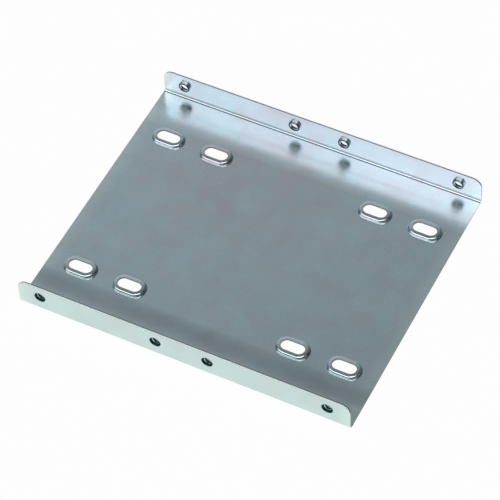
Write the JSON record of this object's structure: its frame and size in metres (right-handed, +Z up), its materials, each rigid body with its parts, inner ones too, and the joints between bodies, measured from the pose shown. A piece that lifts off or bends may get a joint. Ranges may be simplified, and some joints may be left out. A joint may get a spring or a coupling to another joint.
{
  "type": "drive bay adapter bracket",
  "caption": "Folded steel tray with a flange along each long side and raised slots, which carries a 2.5 inch drive in a 3.5 inch drive bay.",
  "frame": {"origin": "middle of the plate's underside, at the bottom centre of the bounding box", "axes": "+X along the flanges, +Y across them from the front flange to the back one, +Z up, the way the flanges stand"},
  "size_m": [0.1178, 0.1016, 0.0108],
  "materials": {
    "zinc_plated_steel": "satin zinc plating"
  },
  "bodies": {
    "root": {"bracket": "zinc_plated_steel"}
  },
  "joints": []
}
